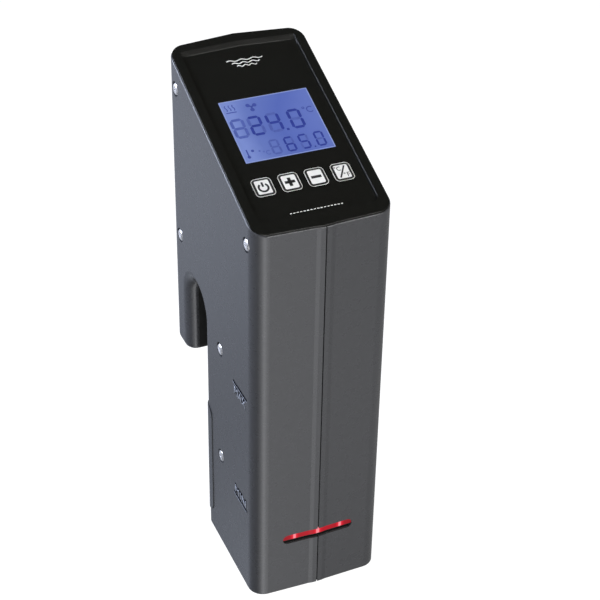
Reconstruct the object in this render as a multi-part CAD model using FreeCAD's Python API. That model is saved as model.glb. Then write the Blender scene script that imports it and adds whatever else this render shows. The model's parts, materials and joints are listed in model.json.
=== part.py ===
"""Sous vide circulator: a hooked two-half casing with a slanted control panel.

Millimetres.  +X right, +Y to the rear, +Z up.  The origin is the middle of the
column's footprint, on the plane that the base stands on.
"""
import FreeCAD, Part
import math
import os

from FreeCAD import Placement, Rotation, Vector

# ---- casing -------------------------------------------------------------
WIDTH = 83.0            # across the two flat sides
FRONT_Y = -41.0         # where the front faces would meet the sides
FRONT_BOW = 1.5         # the two front faces meet this far forward
SEAM_LAND = (3.2, 5.6)  # a raised land beside the front seam: its flat and its foot, from the middle
SEAM_LAND_RISE = 0.3
REAR_Y = 94.4           # where the rear faces would meet the sides
REAR_BOW = 3.0          # the two rear faces meet this far back
CORNER_R = 9.5          # upright corners
WALL = 2.2
PANEL_Z = 259.2         # height of the slanted top at FRONT_Y
PANEL_TILT = 20.38      # degrees
LIP_R = 0.55            # rounding of the outer top edge
SEAM = 0.7              # gap between the two halves

# ---- hook gap -----------------------------------------------------------
COLUMN_REAR_Y = 41.0    # rear face of the column
LEG_FRONT_Y = 70.0      # front face of the rear leg
LEG_BOTTOM_Z = 111.0
LEG_BOTTOM_R = 4.5
ARCH_Z = 156.0          # centre of the round top of the gap
GAP_EDGE_R = 7.4        # rolled edges of the gap at the sides
LINER_HALF_W = 34.0
LINER_FRONT_Z = 100.0   # lowest point of the liner on the column

# ---- casing screws: (y, z) of each ---------------------------------------
CASE_SCREWS = [(-29.4, 249.3), (81.3, 290.0), (80.1, 192.5), (13.6, 151.6), (14.0, 70.4)]
CASE_SCREW_R = 2.0
CASE_HEAD_R = 3.8
CASE_HEAD_HEIGHT = 2.2
CASE_HEX_R = 1.44       # across the corners of the hexagon socket, halved
COUNTERBORE_R = 4.6
COUNTERBORE_DEPTH = 1.8
BOSS_R = 5.0
POST_R = 4.2
BOSS_END_X = -33.0      # where the left bosses meet the right posts
SCREW_REACH = 18.0      # from under the head to the tip
SCREW_R = 1.5           # the small screws inside and under the casing

# ---- control panel, along the slope (s), across (x) and out of it (n) ----
BEZEL_INSET = 0.6       # from the casing's outer face
BEZEL_TOP = 0.8         # above the casing's top edge
BEZEL_FLANGE_BOTTOM = -1.6
BEZEL_BOTTOM = -3.0
RECESS_HALF_W = 35.2
RECESS_FRONT_S = 8.0
RECESS_REAR_S = 138.0    # at the middle of the floor
RECESS_R = 5.0
RAMP_RUN = 3.2          # the recess's rear wall slopes up over this distance
REAR_BOW_ANGLE = 2.9    # degrees; the rear wall is in two halves, as the casing's rear is
OVERLAY_TOP = -0.6
OVERLAY_BOTTOM = -1.1
DISPLAY_X = 0.15        # centre of the display
DISPLAY_HALF_W = 26.75
DISPLAY_S = (51.7, 97.8)
KEY_S = 33.5
KEY_PITCH = 15.6
KEY_SIZE = (10.4, 11.4)
KEY_R = 2.0
KEY_GAP = 0.3
BOARD_TOP = -6.8
BOARD_BOTTOM = -8.4

# ---- front slot ----------------------------------------------------------
SLOT_HALF_W = 22.8
SLOT_Z = (37.3, 43.9)
LIGHT_BAR_Z = 39.7      # the light bar fills the slot above this, the outlet below
LIGHT_BAR_INSET = 0.8
OUTLET_INSET = 1.0

# ---- level lines on the left side -----------------------------------------
LEVEL_LINES_Z = (60.5, 144.5)
LEVEL_LINE_Y = (-30.0, -8.4)
LEVEL_LINE_HEIGHT = 1.0
ENGRAVING = 0.6

# ---- rear cover ------------------------------------------------------------
COVER_EDGE_Y = 28.5
COVER_Z = (12.0, 96.0)
COVER_CORNER_R = 7.0
COVER_PROUD = 0.6
COVER_WALL = 2.2
COVER_GAP = 0.3

# ---- bulkhead, motor and pump ----------------------------------------------
BULKHEAD_Z = (158.0, 161.0)
BULKHEAD_REAR_Y = 36.4
SHAFT_Y = -14.0
SHAFT_R = 3.0
SEAL_R = 7.0
RUNNING_GAP = 0.05
MOTOR_R = 17.5
MOTOR_TOP_Z = 204.0
MOTOR_WALL = 1.2
MOTOR_SCREW_CIRCLE = 13.0
ROTOR_R = 10.0
BEARING_R = 5.0
BEARING_WIDTH = 5.0
FAN_R = 17.5
FAN_BLADES = 7
FAN_PITCH_ANGLE = 35.0
PUMP_R = 20.0
PUMP_Z = (20.0, 41.0)
PUMP_EAR_X = 25.0
OUTLET_Z = (29.0, 38.6)      # the pump's outlet, where the duct to the slot begins
OUTLET_HALF_W = 11.0
DUCT_HALF_W = 21.9           # the duct where it meets the slot
DUCT_WALL = 1.4

# ---- wet side fittings -------------------------------------------------------
HEATER_X = 23.0
HEATER_LEGS_Y = (-24.0, -4.0)
HEATER_R = 3.25
HEATER_BOTTOM_Z = 60.0  # centre of the two bottom bends
HEATER_BEND_Z = 126.0   # centre of the top bend
PROBE = (24.0, 27.0)
FLOAT_STEM = (-24.0, 27.0)
STEM_R = 2.5
FLOAT_R = 7.5
FLOAT_Z = (50.3, 64.3)

# ---- power electronics ---------------------------------------------------------
POWER_BOARD_Z = (222.0, 223.6)
INLET_Z = 240.0
INLET_FLANGE = (30.0, 23.0)
INLET_BODY = (27.0, 20.0)
INLET_SOCKET = (24.4, 16.6)
INLET_FLOOR_Y = 94.2    # flat seat of the inlet's flange

# ---- clamp -----------------------------------------------------------------------
CLAMP_Z = 140.0
SPINDLE_R = 4.0
PAD_Y = (65.5, 69.5)
FACING = 1.2
KNOB_Y = (120.5, 136.0)
KNOB_R = 17.0
KNOB_LOBES = 8
SPINDLE_GAP = 0.06      # between the spindle and its nut
FOOT_R = 6.0            # the spindle's foot, which turns in the pad

FAR = 400.0
MIN_FILLET = 0.2        # smaller roundings are left sharp
HALF_W = WIDTH / 2
GAP_MID_Y = (COLUMN_REAR_Y + LEG_FRONT_Y) / 2
ARCH_R = (LEG_FRONT_Y - COLUMN_REAR_Y) / 2
X_AXIS, Y_AXIS, Z_AXIS = Vector(1, 0, 0), Vector(0, 1, 0), Vector(0, 0, 1)


# ---- helpers -----------------------------------------------------------------------
def box(x, y, z):
    """A box from three (low, high) pairs."""
    size = [pair[1] - pair[0] for pair in (x, y, z)]
    return Part.makeBox(size[0], size[1], size[2], Vector(x[0], y[0], z[0]))


def rod_x(y, z, x0, x1, r):
    return Part.makeCylinder(r, x1 - x0, Vector(x0, y, z), X_AXIS)


def rod_y(x, z, y0, y1, r):
    return Part.makeCylinder(r, y1 - y0, Vector(x, y0, z), Y_AXIS)


def rod_z(x, y, z0, z1, r):
    return Part.makeCylinder(r, z1 - z0, Vector(x, y, z0), Z_AXIS)


def joined(shapes):
    shapes = list(shapes)
    whole = shapes[0].multiFuse(shapes[1:]) if len(shapes) > 1 else shapes[0]
    return whole.removeSplitter()


def without(shape, tools):
    return shape.cut(joined(tools))


def extruded(points, direction):
    """A prism of the closed outline through the points."""
    corners = [Vector(*point) for point in points]
    wire = Part.makePolygon(corners + corners[:1])
    return Part.Face(wire).extrude(Vector(*direction))


def edges_along(shape, axis):
    """Straight edges parallel to the axis."""
    found = []
    for edge in shape.Edges:
        if len(edge.Vertexes) != 2:
            continue
        step = edge.Vertexes[1].Point - edge.Vertexes[0].Point
        if step.Length > 1e-6 and step.cross(axis).Length < 1e-6 * step.Length:
            found.append(edge)
    return found


def rounded_box(x, y, z, r, axis=Z_AXIS):
    """A box with the four edges along the axis rounded."""
    plain = box(x, y, z)
    return plain.makeFillet(r, edges_along(plain, axis))


def panel(shape):
    """Moves a shape drawn flat as (x, s, n) onto the slanted top."""
    moved = shape.copy()
    moved.Placement = Placement(Vector(0, FRONT_Y, PANEL_Z), Rotation(X_AXIS, PANEL_TILT))
    return moved


def slab(n0, n1):
    """Everything between two planes parallel to the slanted top."""
    return panel(box((-FAR, FAR), (-FAR, FAR), (n0, n1)))


def group(shapes):
    return Part.makeCompound(list(shapes))


def save(name, shape):
    shape.exportStep("parts/" + name + ".step")


# ---- outer form -----------------------------------------------------------------------
def prism(inset, z0=0.0, z1=FAR):
    """The casing's plan outline, inset from the outer face, as an upright prism."""
    half, front, rear = HALF_W - inset, FRONT_Y + inset, REAR_Y - inset
    flat, foot = SEAM_LAND
    middle = front - FRONT_BOW
    slope = (FRONT_BOW - SEAM_LAND_RISE) / HALF_W
    right = [(flat, middle + slope * flat), (foot, middle + SEAM_LAND_RISE + slope * foot), (half, front)]
    left = [(-x, y) for x, y in reversed(right)]
    rear_line = [(half, rear), (0, rear + REAR_BOW), (-half, rear)]
    points = left + [(0, middle)] + right + rear_line
    solid = extruded([(x, y, z0) for x, y in points], (0, 0, z1 - z0))
    corners = [edge for edge in edges_along(solid, Z_AXIS)
               if abs(edge.Vertexes[0].X) > half - 1]
    return solid.makeFillet(CORNER_R - inset, corners)


def gap(grow):
    """The hook gap: upright sides and a round top, grown by the given amount."""
    sides = box((-FAR, FAR), (COLUMN_REAR_Y - grow, LEG_FRONT_Y + grow), (-1, ARCH_Z))
    return joined([sides, rod_x(GAP_MID_Y, ARCH_Z, -FAR, FAR, ARCH_R + grow)])


def under_leg(grow):
    return box((-FAR, FAR), (GAP_MID_Y, FAR), (-1, LEG_BOTTOM_Z + grow))


def body(inset):
    """The casing's form, inset from the outer face, without its slanted top."""
    solid = prism(inset).cut(joined([gap(inset), under_leg(inset)]))
    half = HALF_W - inset
    rolled = []
    for edge in solid.Edges:
        at_side = all(abs(abs(v.X) - half) < 1e-4 for v in edge.Vertexes)
        middle = edge.valueAt((edge.FirstParameter + edge.LastParameter) / 2)
        in_gap = COLUMN_REAR_Y - inset - 1e-3 < middle.y < LEG_FRONT_Y + inset + 1e-3
        if at_side and in_gap and middle.z > 1 and abs(abs(middle.x) - half) < 1e-4:
            rolled.append(edge)
    solid = solid.makeFillet(GAP_EDGE_R - inset, rolled)
    bottom_r = LEG_BOTTOM_R - inset
    if bottom_r < MIN_FILLET:
        return solid
    bottom_z = LEG_BOTTOM_Z + inset
    under = [edge for edge in solid.Edges
             if edge.BoundBox.ZLength < 1e-3 and abs(edge.BoundBox.ZMin - bottom_z) < 1e-3]
    return solid.makeFillet(bottom_r, under)


def top_rounded(solid):
    """Rounds the outer edge of the slanted top."""
    flat = panel(box((-FAR, FAR), (-FAR, FAR), (-0.01, 0.01)))
    rim = [edge for edge in solid.Edges
           if all(flat.isInside(v.Point, 1e-3, True) for v in edge.Vertexes)
           and flat.isInside(edge.valueAt((edge.FirstParameter + edge.LastParameter) / 2), 1e-3, True)]
    return solid.makeFillet(LIP_R, rim)


def cover_region(shrink):
    """Side view of the rear cover, rounded at its two front corners."""
    low, high = COVER_Z[0] + shrink, COVER_Z[1] - shrink
    front = COVER_EDGE_Y + shrink
    plain = box((-FAR, FAR), (front, GAP_MID_Y), (low, high))
    corners = [edge for edge in edges_along(plain, X_AXIS) if edge.Vertexes[0].Y < front + 1]
    return plain.makeFillet(COVER_CORNER_R - shrink, corners)


def stadium(half_w, z, y):
    """A slot with round ends, run through along Y."""
    r = (z[1] - z[0]) / 2
    middle = (z[0] + z[1]) / 2
    straight = box((r - half_w, half_w - r), y, z)
    ends = [rod_y(side * (half_w - r), middle, y[0], y[1], r) for side in (-1, 1)]
    return joined([straight] + ends)


def liner_band(inner, outer, half_w, front_z, rear_z):
    """An upside-down U round the hook gap, between two growths of it."""
    ring = gap(outer).cut(gap(inner))
    column = box((-half_w, half_w), (0, GAP_MID_Y), (front_z, FAR))
    leg = box((-half_w, half_w), (GAP_MID_Y, REAR_Y), (rear_z, FAR))
    return ring.common(joined([column, leg]))


# ---- casing -----------------------------------------------------------------------------
def casing_halves(outer):
    inlet_pad = box((-20, 20), (90.5, FAR), (INLET_Z - 17, INLET_Z + 17))
    nut_pad = box((-12, 12), (94.2, FAR), (CLAMP_Z - 12, CLAMP_Z + 12))
    pads = joined([inlet_pad, nut_pad]).common(outer)
    wall = joined([outer.cut(body(WALL)), pads])

    flange = INLET_FLANGE
    vents = [rounded_box((x - 1.25, x + 1.25), (80, 110), (262, 280), 1.2, Y_AXIS)
             for x in range(-24, 25, 6) if x != 0]
    marks = [box((-HALF_W - 1, -HALF_W + ENGRAVING), LEVEL_LINE_Y,
                 (z - LEVEL_LINE_HEIGHT / 2, z + LEVEL_LINE_HEIGHT / 2))
             for z in LEVEL_LINES_Z]
    openings = [
        prism(BEZEL_INSET).common(slab(BEZEL_FLANGE_BOTTOM, FAR)),
        stadium(SLOT_HALF_W, SLOT_Z, (-50, -35)),
        cover_region(0.0),
        liner_band(0, WALL + 0.05, LINER_HALF_W + 0.05, LINER_FRONT_Z, 0),
        rounded_box((-flange[0] / 2 - 0.3, flange[0] / 2 + 0.3), (INLET_FLOOR_Y, 110),
                    (INLET_Z - flange[1] / 2 - 0.3, INLET_Z + flange[1] / 2 + 0.3), 3, Y_AXIS),
        box((-INLET_BODY[0] / 2, INLET_BODY[0] / 2), (80, 110),
            (INLET_Z - INLET_BODY[1] / 2, INLET_Z + INLET_BODY[1] / 2)),
        rod_y(0, CLAMP_Z, 85, 110, SPINDLE_R + 0.5),
    ]
    wall = without(wall, openings + vents + marks)

    left = wall.common(box((-FAR, -SEAM / 2), (-FAR, FAR), (-1, FAR)))
    right = wall.common(box((SEAM / 2, FAR), (-FAR, FAR), (-1, FAR)))
    inside = HALF_W - 1
    floor_x = -HALF_W + COUNTERBORE_DEPTH
    bosses = [rod_x(y, z, -inside, BOSS_END_X, BOSS_R) for y, z in CASE_SCREWS]
    posts = [rod_x(y, z, BOSS_END_X, inside, POST_R) for y, z in CASE_SCREWS]
    bores = []
    for y, z in CASE_SCREWS:
        bores.append(rod_x(y, z, -HALF_W - 1, floor_x, COUNTERBORE_R))
        bores.append(rod_x(y, z, floor_x - 1, BOSS_END_X + 1, CASE_SCREW_R + 0.2))
    pilots = [rod_x(y, z, BOSS_END_X - 1, floor_x + SCREW_REACH + 1, CASE_SCREW_R)
              for y, z in CASE_SCREWS]
    left = without(joined([left] + bosses), bores)
    right = without(joined([right] + posts), pilots)
    return left, right


def casing_screw(y, z):
    """Round-headed screw with a hexagon socket, in from the left."""
    seat_x = -HALF_W + COUNTERBORE_DEPTH
    top_x = seat_x - CASE_HEAD_HEIGHT
    head = rod_x(y, z, top_x, seat_x, CASE_HEAD_R)
    rim = [edge for edge in head.Edges if abs(edge.BoundBox.XMax - top_x) < 1e-3]
    head = head.makeFillet(CASE_HEAD_HEIGHT - 0.3, rim)
    corners = [(top_x - 1, y + CASE_HEX_R * math.cos(a), z + CASE_HEX_R * math.sin(a))
               for a in (math.radians(60 * k) for k in range(6))]
    socket = extruded(corners, (2.3, 0, 0))
    return joined([head, rod_x(y, z, seat_x, seat_x + SCREW_REACH, CASE_SCREW_R)]).cut(socket)


def rear_cover():
    """Snap-in cover with intake slots, wrapped round the column's rear corners."""
    shell = body(-COVER_PROUD).cut(body(COVER_WALL - COVER_PROUD)).common(cover_region(COVER_GAP))
    slots = [rounded_box((-17, 17), (30, 50), (z - 1.3, z + 1.3), 1.2, Y_AXIS)
             for z in range(26, 87, 6)]
    shell = without(shell, slots)
    tabs = []
    for side in (-1, 1):
        for z in (30, 76):
            outer_x, inner_x = side * (HALF_W - WALL - 0.4), side * (HALF_W - WALL - 1.6)
            tabs.append(box(sorted((outer_x, inner_x)), (COVER_EDGE_Y - 4, COVER_EDGE_Y + 5), (z, z + 6)))
            tabs.append(box(sorted((outer_x + side * 1.0, inner_x)), (COVER_EDGE_Y + 1, COVER_EDGE_Y + 5),
                            (z, z + 6)))
    return joined([shell] + tabs)


def hook_liner(outer):
    """Black lining of the gap, held by a flange behind the casing's wall."""
    band = liner_band(0, WALL, LINER_HALF_W, LINER_FRONT_Z + 0.1, LEG_BOTTOM_Z).common(outer)
    behind = body(WALL).cut(body(WALL + 1.2))
    flange = behind.common(liner_band(0, WALL + 1.2, LINER_HALF_W + 2.5, LINER_FRONT_Z - 2,
                                      LEG_BOTTOM_Z + WALL))
    return joined([band, flange]).cut(rod_y(0, CLAMP_Z, 60, 90, SPINDLE_R + 0.5))


def base_plate():
    plate = body(WALL + 0.1).common(box((-FAR, FAR), (-FAR, GAP_MID_Y), (0, 3)))
    drains = [rounded_box((x - 1.2, x + 1.2), (14, 32), (-1, 5), 1.1) for x in range(-12, 13, 6)]
    heads = [rod_z(x, y, -1, 1.4, 2.9) for x, y in base_screw_places()]
    holes = [rod_z(x, y, 0, 4, 1.6) for x, y in base_screw_places()]
    return without(plate, drains + heads + holes)


def base_screw_places():
    corners = [(x, y) for x in (-31, 31) for y in (-30, 24)]
    return corners + [(side * PUMP_EAR_X, SHAFT_Y) for side in (-1, 1)]


def base_screw(x, y):
    reach = 2.9 if abs(x) > PUMP_EAR_X + 1 else 9.0
    return joined([rod_z(x, y, 0.3, 1.4, 2.6), rod_z(x, y, 1.4, reach, SCREW_R)])


# ---- control panel -------------------------------------------------------------------------
def recess_rear(reach, margin):
    """The (x, s) outline behind the recess, in two straight halves."""
    drop = RECESS_HALF_W * math.tan(math.radians(REAR_BOW_ANGLE))
    side_s, middle_s = RECESS_REAR_S - drop - margin, RECESS_REAR_S - margin
    half = RECESS_HALF_W - margin
    return [(half, side_s + reach), (0, middle_s + reach), (-half, side_s + reach)]


def recess(margin, n):
    """The recess in the bezel: round corners in front, a bowed edge behind."""
    half, front = RECESS_HALF_W - margin, RECESS_FRONT_S + margin
    outline = [(-half, front), (half, front)] + recess_rear(0, margin)
    solid = extruded([(x, s, n[0]) for x, s in outline], (0, 0, n[1] - n[0]))
    corners = [edge for edge in edges_along(solid, Z_AXIS) if abs(edge.Vertexes[0].X) > half - 1]
    return solid.makeFillet(RECESS_R - margin, corners)


def recess_ramp():
    """The slope from the recess's floor up to the bezel's rim at the rear."""
    foot, head = recess_rear(-6.0, 0), recess_rear(RAMP_RUN, 0)
    low = [(x, s, OVERLAY_TOP) for x, s in foot]
    high = [(x, s, BEZEL_TOP) for x, s in head]
    back = [(x, s, OVERLAY_TOP) for x, s in recess_rear(0, 0)]
    ramp = []
    for near, far in ((0, 1), (1, 2)):
        section = []
        for k in (near, far):
            top = Vector(low[k][0], low[k][1], BEZEL_TOP)
            corners = [Vector(*low[k]), Vector(*back[k]), Vector(*high[k]), top]
            section.append(Part.makePolygon(corners + corners[:1]))
        ramp.append(Part.makeLoft(section, True, True))
    return joined(ramp)


def key_x(index):
    return KEY_PITCH * (index - 1.5)


def key_block(index, grow, n, r):
    x, half_w, half_h = key_x(index), KEY_SIZE[0] / 2 + grow, KEY_SIZE[1] / 2 + grow
    return rounded_box((x - half_w, x + half_w), (KEY_S - half_h, KEY_S + half_h), n, r)


def display_block(grow, n):
    return box((DISPLAY_X - DISPLAY_HALF_W - grow, DISPLAY_X + DISPLAY_HALF_W + grow),
               (DISPLAY_S[0] - grow, DISPLAY_S[1] + grow), n)


def bezel():
    flange = prism(BEZEL_INSET + 0.05).common(slab(BEZEL_FLANGE_BOTTOM, BEZEL_TOP))
    skirt = prism(WALL + 0.1).common(slab(BEZEL_BOTTOM, BEZEL_FLANGE_BOTTOM))
    openings = [recess(0, (OVERLAY_BOTTOM, 5)), recess_ramp(), display_block(2.4, (-9, 5))]
    openings += [key_block(index, KEY_GAP, (-9, 5), KEY_R) for index in range(4)]
    return without(joined([flange, skirt]), [panel(shape) for shape in openings])


def overlay():
    """Printed skin on the floor of the recess."""
    skin = recess(0.1, (OVERLAY_BOTTOM, OVERLAY_TOP))
    openings = [display_block(0.1, (-5, 5))]
    openings += [key_block(index, KEY_GAP, (-5, 5), KEY_R) for index in range(4)]
    return panel(without(skin, openings))


def key(index):
    """Key cap with a retaining flange and a pip that presses its switch."""
    cap = key_block(index, 0, (-3.6, OVERLAY_TOP + 0.15), KEY_R)
    flange = key_block(index, 1.0, (-4.2, -3.3), KEY_R)
    pip = rod_z(key_x(index), KEY_S, -4.6, -4.0, 1.6)
    return panel(joined([cap, flange, pip]))


def switch(index):
    x = key_x(index)
    base = box((x - 3, x + 3), (KEY_S - 3, KEY_S + 3), (BOARD_TOP, BOARD_TOP + 1.1))
    return panel(joined([base, rod_z(x, KEY_S, BOARD_TOP, BOARD_TOP + 1.45, 1.7)]))


def control_panel():
    save("panel_bezel", bezel())
    save("membrane_overlay", overlay())
    save("display_window", panel(display_block(0, (OVERLAY_BOTTOM, OVERLAY_TOP + 0.05))))
    save("lcd_glass", panel(display_block(2.2, (-3.2, OVERLAY_BOTTOM))))
    save("backlight_panel", panel(display_block(2.2, (-5.6, -3.2))))
    for index, name in enumerate(("key_power", "key_plus", "key_minus", "key_units")):
        save(name, key(index))
    save("tactile_switches", group(switch(index) for index in range(4)))
    corners = [(x, s) for x in (-31, 31) for s in (22, 116)]
    board = box((-34, 34), (18, 128), (BOARD_BOTTOM, BOARD_TOP))
    board = without(board, [rod_z(x, s, -10, -5, 1.25) for x, s in corners])
    save("control_board", panel(board))
    spacers = [rod_z(x, s, BOARD_TOP, BEZEL_BOTTOM, 2.6).cut(rod_z(x, s, -9, -3, 1.25)) for x, s in corners]
    save("board_spacers", panel(group(spacers)))
    screws = [joined([rod_z(x, s, BOARD_BOTTOM, BEZEL_BOTTOM - 0.2, 1.25),
                      rod_z(x, s, BOARD_BOTTOM - 1.2, BOARD_BOTTOM, 2.2)]) for x, s in corners]
    save("board_screws", panel(group(screws)))


# ---- front slot ------------------------------------------------------------------------------
def slot_filler(inset_front, z, y_back):
    """A block that fits the slot between two heights and follows the bowed front."""
    fit = stadium(SLOT_HALF_W - 0.1, (SLOT_Z[0] + 0.1, SLOT_Z[1] - 0.1), (-60, y_back))
    return fit.common(prism(inset_front)).common(box((-FAR, FAR), (-FAR, y_back), z))


def front_slot():
    save("status_light_bar", slot_filler(LIGHT_BAR_INSET, (LIGHT_BAR_Z, SLOT_Z[1]), -36.6))
    board = box((-20, 20), (-36.5, -35.3), (LIGHT_BAR_Z + 0.4, LIGHT_BAR_Z + 10))
    leds = [box((x - 1.6, x + 1.6), (-36.6, -36.5), (40.9, 42.7)) for x in (-15, 0, 15)]
    save("led_board", joined([board] + leds))

    lip = slot_filler(OUTLET_INSET, (SLOT_Z[0], LIGHT_BAR_Z - 0.1), -37.0)
    mouth = box((0.3 - DUCT_HALF_W, DUCT_HALF_W - 0.3), (-60, -36), (SLOT_Z[0] + 0.6, LIGHT_BAR_Z - 0.6))
    save("outlet_nozzle", joined([lip.cut(mouth), duct(0, 0.1).cut(duct(DUCT_WALL, 0.6))]))


def duct(wall, lip):
    """Straight-sided transition from the pump's outlet to the slot, less its wall and lip."""
    pump_end = (OUTLET_HALF_W - wall, (OUTLET_Z[0] + wall, OUTLET_Z[1] - wall), -30.0)
    slot_end = (DUCT_HALF_W - wall, (SLOT_Z[0] + lip, LIGHT_BAR_Z - lip), -37.0)
    sections = []
    for half_w, z, y in (pump_end, slot_end):
        corners = [Vector(-half_w, y, z[0]), Vector(half_w, y, z[0]),
                   Vector(half_w, y, z[1]), Vector(-half_w, y, z[1])]
        sections.append(Part.makePolygon(corners + corners[:1]))
    return Part.makeLoft(sections, True, True)


# ---- bulkhead, motor, fan and pump ---------------------------------------------------------------
def bulkhead():
    holes = [rod_z(0, SHAFT_Y, 150, 170, SEAL_R)]
    holes += [rod_z(x, y, 150, 170, STEM_R + 0.1) for x, y in (PROBE, FLOAT_STEM)]
    holes += [rod_z(side * HEATER_X, HEATER_LEGS_Y[0], 150, 170, HEATER_R + 0.1) for side in (-1, 1)]
    holes += [rod_z(x, y, 150, 170, SCREW_R) for x, y in motor_screw_places()]
    form = body(WALL + 0.2)
    region = box((-FAR, FAR), (-FAR, BULKHEAD_REAR_Y), BULKHEAD_Z)
    save("bulkhead_plate", without(form.common(region), holes))
    low = (BULKHEAD_Z[0] - 1.2, BULKHEAD_Z[0])
    rim = form.common(box((-FAR, FAR), (-FAR, BULKHEAD_REAR_Y), low))
    inner = prism(WALL + 3.0).common(box((-FAR, FAR), (-FAR, BULKHEAD_REAR_Y - 3), low))
    save("bulkhead_gasket", rim.cut(inner))

    glands = []
    for x, y, r in [(-HEATER_X, HEATER_LEGS_Y[0], HEATER_R), (HEATER_X, HEATER_LEGS_Y[0], HEATER_R),
                    (PROBE[0], PROBE[1], STEM_R)]:
        nut = rod_z(x, y, BULKHEAD_Z[0] - 5, BULKHEAD_Z[0], r + 1.8)
        glands.append(nut.cut(rod_z(x, y, 150, 170, r)))
    save("bulkhead_glands", group(glands))
    seal = rod_z(0, SHAFT_Y, BULKHEAD_Z[0], BULKHEAD_Z[1], SEAL_R)
    save("shaft_seal", seal.cut(rod_z(0, SHAFT_Y, 150, 170, SHAFT_R + RUNNING_GAP)))


def motor_screw_places():
    angles = [math.radians(a) for a in (0, 120, 240)]
    return [(MOTOR_SCREW_CIRCLE * math.cos(a), SHAFT_Y + MOTOR_SCREW_CIRCLE * math.sin(a))
            for a in angles]


def motor():
    z0, z1 = BULKHEAD_Z[1], MOTOR_TOP_Z
    can = rod_z(0, SHAFT_Y, z0, z1, MOTOR_R)
    cavity = rod_z(0, SHAFT_Y, z0 + 2, z1 - 2, MOTOR_R - MOTOR_WALL)
    ends = rod_z(0, SHAFT_Y, z0 - 1, z1 + 1, BEARING_R)
    save("motor_housing", without(can, [cavity, ends]))
    bearings = []
    for low in (z0, z1 - BEARING_WIDTH):
        ring = rod_z(0, SHAFT_Y, low, low + BEARING_WIDTH, BEARING_R)
        bearings.append(ring.cut(rod_z(0, SHAFT_Y, 100, 250, SHAFT_R + RUNNING_GAP)))
    save("motor_bearings", group(bearings))
    stator = rod_z(0, SHAFT_Y, z0 + 9, z1 - 9, MOTOR_R - MOTOR_WALL - 0.1)
    slots = [rod_z(0, SHAFT_Y, 100, 250, ROTOR_R + 0.4)]
    for k in range(6):
        a = math.radians(60 * k)
        slots.append(rod_z(12.2 * math.cos(a), SHAFT_Y + 12.2 * math.sin(a), 100, 250, 2.6))
    save("motor_stator", without(stator, slots))
    rotor = rod_z(0, SHAFT_Y, z0 + 10, z1 - 10, ROTOR_R).cut(rod_z(0, SHAFT_Y, 100, 250, SHAFT_R))
    save("motor_rotor", rotor)
    screws = [joined([rod_z(x, y, BULKHEAD_Z[0] - 1.6, BULKHEAD_Z[0], 2.6),
                      rod_z(x, y, BULKHEAD_Z[0], BULKHEAD_Z[1], SCREW_R)])
              for x, y in motor_screw_places()]
    save("motor_screws", group(screws))


def fan():
    z0 = MOTOR_TOP_Z + 3
    hub = rod_z(0, SHAFT_Y, z0, z0 + 8, 7.0)
    blades = []
    for k in range(FAN_BLADES):
        blade = box((6.0, FAN_R), (-0.6, 0.6), (z0 + 0.5, z0 + 7.5))
        blade.rotate(Vector(12, 0, z0 + 4), X_AXIS, FAN_PITCH_ANGLE)
        blade.rotate(Vector(0, 0, 0), Z_AXIS, 360 * k / FAN_BLADES)
        blade.translate(Vector(0, SHAFT_Y, 0))
        blades.append(blade)
    bore = rod_z(0, SHAFT_Y, z0 - 1, z0 + 9, SHAFT_R)
    save("cooling_fan", joined([hub] + blades).cut(bore))


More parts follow.
